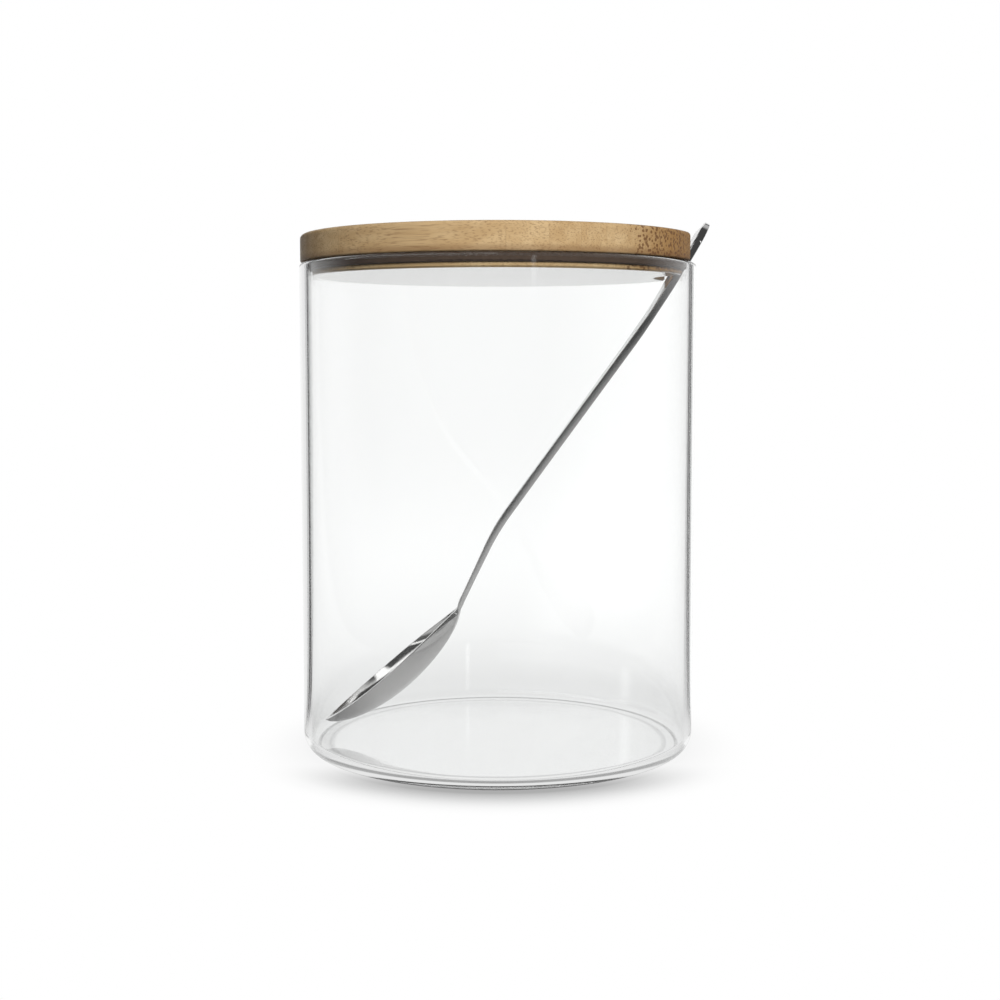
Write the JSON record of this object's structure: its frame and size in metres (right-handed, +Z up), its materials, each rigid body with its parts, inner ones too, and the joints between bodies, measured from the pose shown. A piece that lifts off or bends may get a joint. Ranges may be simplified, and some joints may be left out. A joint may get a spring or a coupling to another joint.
{
  "type": "glass storage jar",
  "caption": "Straight-sided clear glass storage jar with a laminated bamboo lid, a soft sealing ring and a steel spoon that leaves through a notch in the lid.",
  "frame": {"origin": "on the jar's axis, in the plane that it stands on", "axes": "+Z up along the jar's axis, +X towards the lid's notch and the spoon's handle, -Y towards the viewer of the picture"},
  "size_m": [0.1035, 0.1, 0.1336],
  "materials": {
    "clear_glass": "clear, fire-polished",
    "bamboo": "clear satin lacquer",
    "silicone": "soft matte",
    "polished_steel": "mirror polished"
  },
  "bodies": {
    "jar": {"glass_jar": "clear_glass"},
    "lid": {"lid_strip_01": "bamboo", "lid_strip_02": "bamboo", "lid_strip_03": "bamboo", "lid_strip_04": "bamboo", "lid_strip_05": "bamboo", "lid_strip_06": "bamboo", "lid_strip_07": "bamboo", "lid_strip_08": "bamboo", "lid_strip_09": "bamboo", "lid_strip_10": "bamboo", "lid_strip_11": "bamboo", "lid_strip_12": "bamboo", "lid_strip_13": "bamboo", "lid_strip_14": "bamboo", "lid_strip_15": "bamboo", "lid_strip_16": "bamboo", "lid_strip_17": "bamboo", "lid_strip_18": "bamboo", "lid_strip_19": "bamboo", "lid_strip_20": "bamboo", "sealing_ring": "silicone"},
    "spoon": {"spoon": "polished_steel"}
  },
  "joints": [
    {"name": "lid_lift", "type": "slide", "parent": "jar", "child": "lid", "axis": [0, 0, 1], "range_m": [0, 0.07]},
    {"name": "spoon_draw", "type": "slide", "parent": "jar", "child": "spoon", "axis": [0.5075, 0, 0.8616], "range_m": [0, 0.038]}
  ]
}
